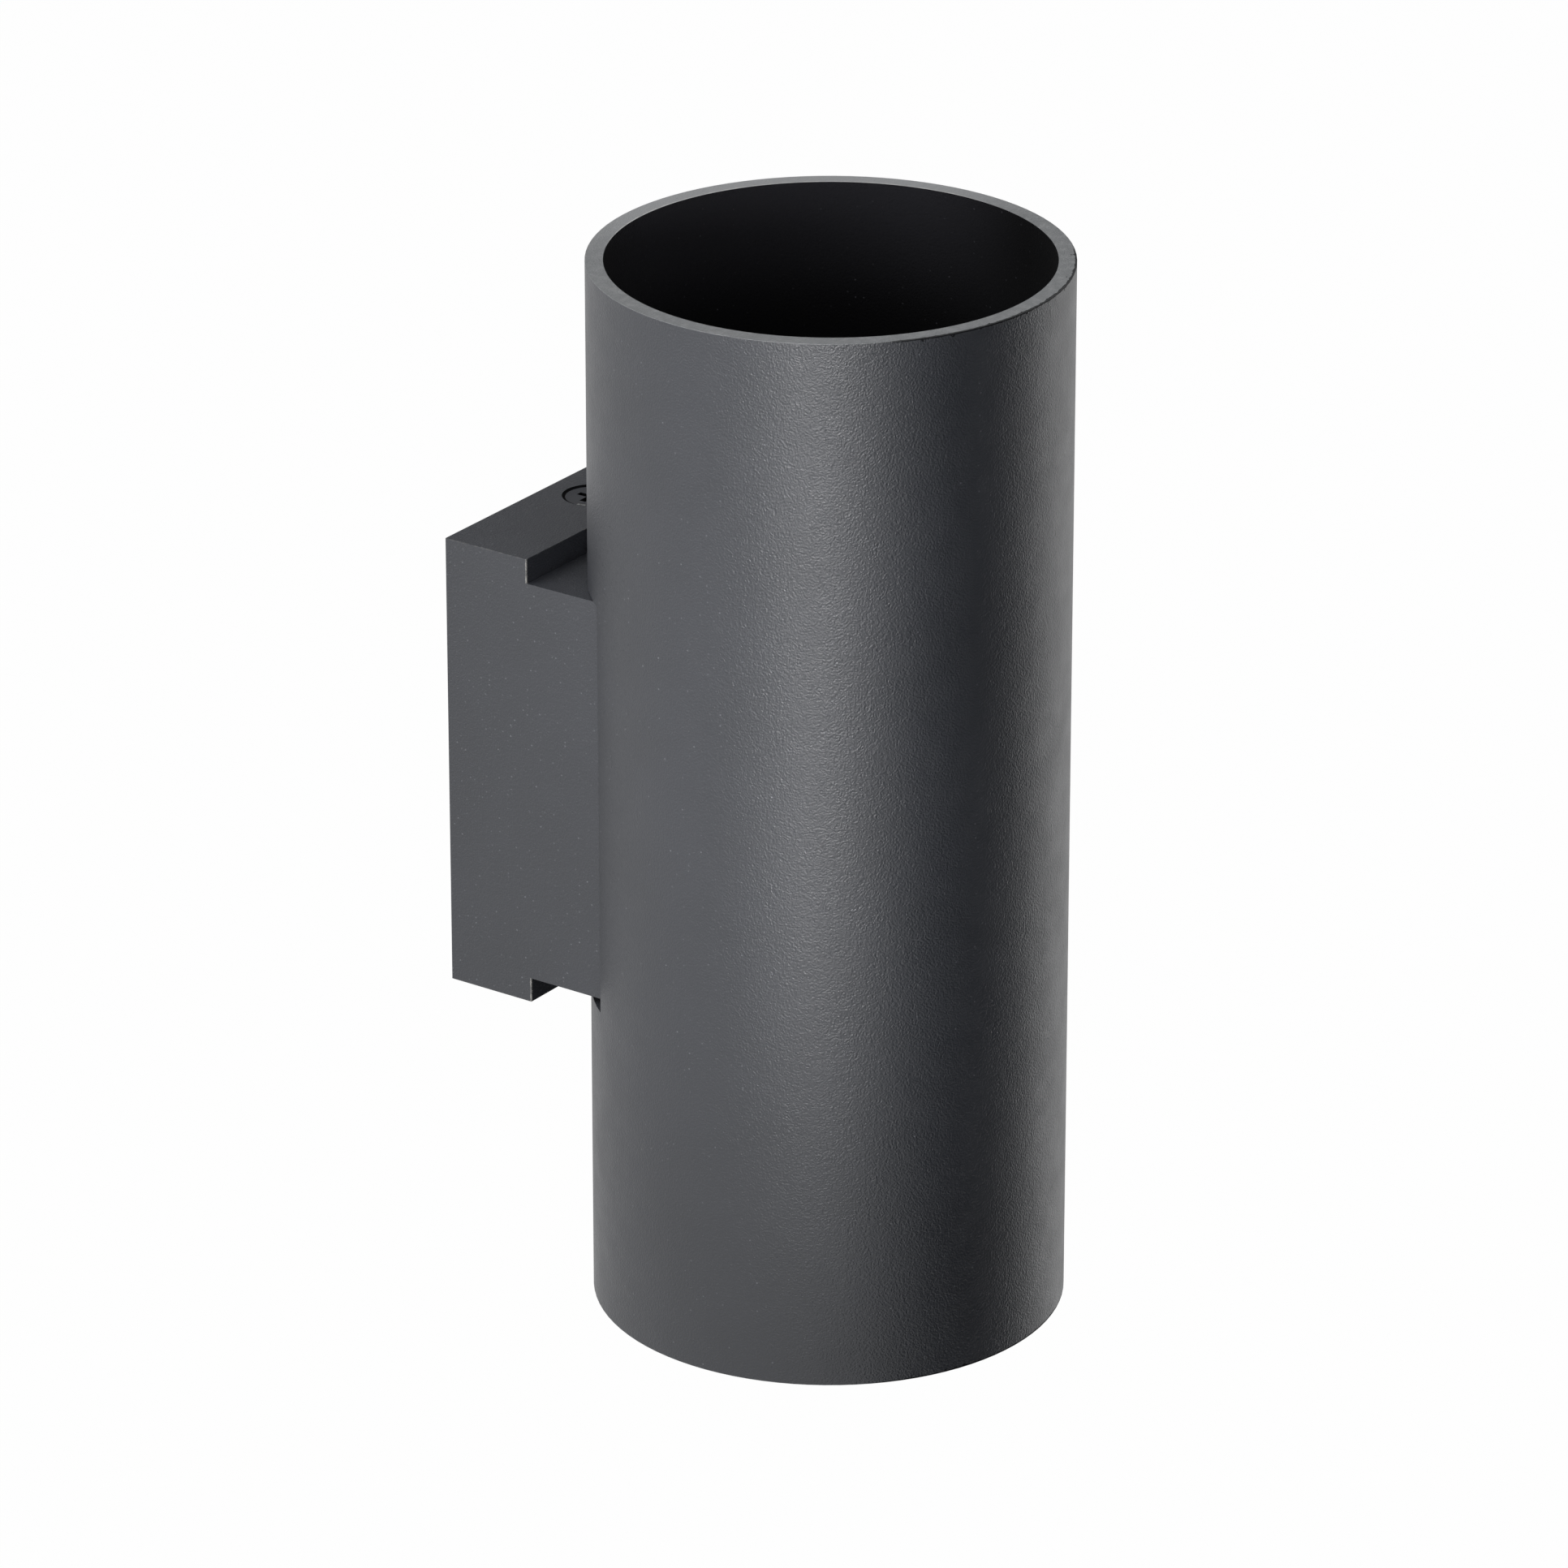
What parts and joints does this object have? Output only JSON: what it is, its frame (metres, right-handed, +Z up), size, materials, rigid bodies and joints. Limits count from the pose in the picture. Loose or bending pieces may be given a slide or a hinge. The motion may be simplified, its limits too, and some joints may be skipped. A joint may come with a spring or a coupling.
{
  "type": "tube wall light",
  "caption": "Dark round tube wall light on a stepped mounting block, open at both ends to shine up and down.",
  "frame": {"origin": "middle of the wall plate's back face, on the wall, at half the tube's height", "axes": "+Z up along the tube, -Y out from the wall through the tube's axis, +X to the right seen from the room"},
  "size_m": [0.065, 0.0788, 0.15],
  "materials": {
    "powder_coat": "fine-grained satin powder coat",
    "black_steel": "blackened steel",
    "zinc_sheet": "zinc-plated sheet",
    "zinc_steel": "zinc-plated",
    "black_rubber": "matt",
    "lampholder_ceramic": "unglazed steatite",
    "insulating_cover": "laminated insulating sheet",
    "brass": "plain",
    "lamp_shell": "satin grey moulding",
    "lamp_lens": "frosted diffuser",
    "lamp_base": "moulded",
    "terminal_moulding": "moulded",
    "brown_sleeve": "extruded insulation",
    "blue_sleeve": "extruded insulation",
    "green_sleeve": "extruded insulation"
  },
  "bodies": {
    "light": {"tube_housing": "powder_coat", "mounting_block": "powder_coat", "block_screws": "black_steel", "wall_plate": "zinc_sheet", "cable_grommet": "black_rubber", "clamp_strip": "zinc_sheet", "holder_shelf": "zinc_sheet", "strip_screws": "zinc_steel", "lead_bush": "black_rubber", "upper_lampholder": "lampholder_ceramic", "upper_cover": "insulating_cover", "upper_contacts": "brass", "lower_lampholder": "lampholder_ceramic", "lower_cover": "insulating_cover", "lower_contacts": "brass", "holder_screws": "zinc_steel", "holder_nuts": "zinc_steel", "terminal_housing": "terminal_moulding", "terminal_clamps": "brass", "clamp_screws": "zinc_steel", "terminal_screw": "zinc_steel", "earth_stud": "brass", "earth_ring": "zinc_steel", "earth_nut": "brass", "upper_live_lead": "brown_sleeve", "upper_neutral_lead": "blue_sleeve", "lower_live_lead": "brown_sleeve", "lower_neutral_lead": "blue_sleeve", "earth_lead": "green_sleeve"},
    "upper_lamp": {"upper_lamp_shell": "lamp_shell", "upper_lamp_lens": "lamp_lens", "upper_lamp_base": "lamp_base", "upper_lamp_pins": "zinc_steel"},
    "lower_lamp": {"lower_lamp_shell": "lamp_shell", "lower_lamp_lens": "lamp_lens", "lower_lamp_base": "lamp_base", "lower_lamp_pins": "zinc_steel"}
  },
  "joints": [
    {"name": "upper_lamp_twist", "type": "hinge", "parent": "light", "child": "upper_lamp", "pos_m": [0, -0.0463, 0.01385], "axis": [0, 0, 1], "range_deg": [0, 25]},
    {"name": "lower_lamp_twist", "type": "hinge", "parent": "light", "child": "lower_lamp", "pos_m": [0, -0.0463, -0.01385], "axis": [0, 0, -1], "range_deg": [0, 25]}
  ]
}
